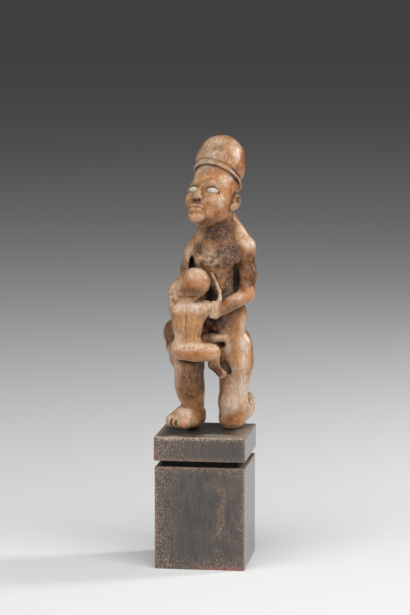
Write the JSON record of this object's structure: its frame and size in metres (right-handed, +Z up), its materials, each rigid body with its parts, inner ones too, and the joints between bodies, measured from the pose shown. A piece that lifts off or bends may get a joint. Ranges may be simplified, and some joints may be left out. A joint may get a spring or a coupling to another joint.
{
  "type": "carved wooden statuette",
  "caption": "Kneeling wooden figure in a tall domed cap holding a child astride its raised thigh, on a tall square plinth with a sawn groove.",
  "frame": {"origin": "middle of the plinth's underside", "axes": "+Z up, -Y towards the viewer, +X to the viewer's right"},
  "size_m": [0.0665, 0.0663, 0.2972],
  "materials": {
    "carved_wood": "tan hardwood, worn to a soft polish, with dark residue in the hollows",
    "plinth_wood": "open-grained wood stained near black, with light pores and worn reddish edges",
    "eye_inlay": "pale grey-white, smooth, softly glossy"
  },
  "bodies": {
    "root": {"figure": "carved_wood", "plinth": "plinth_wood", "eye_inlay_right": "eye_inlay", "eye_inlay_left": "eye_inlay"}
  },
  "joints": []
}
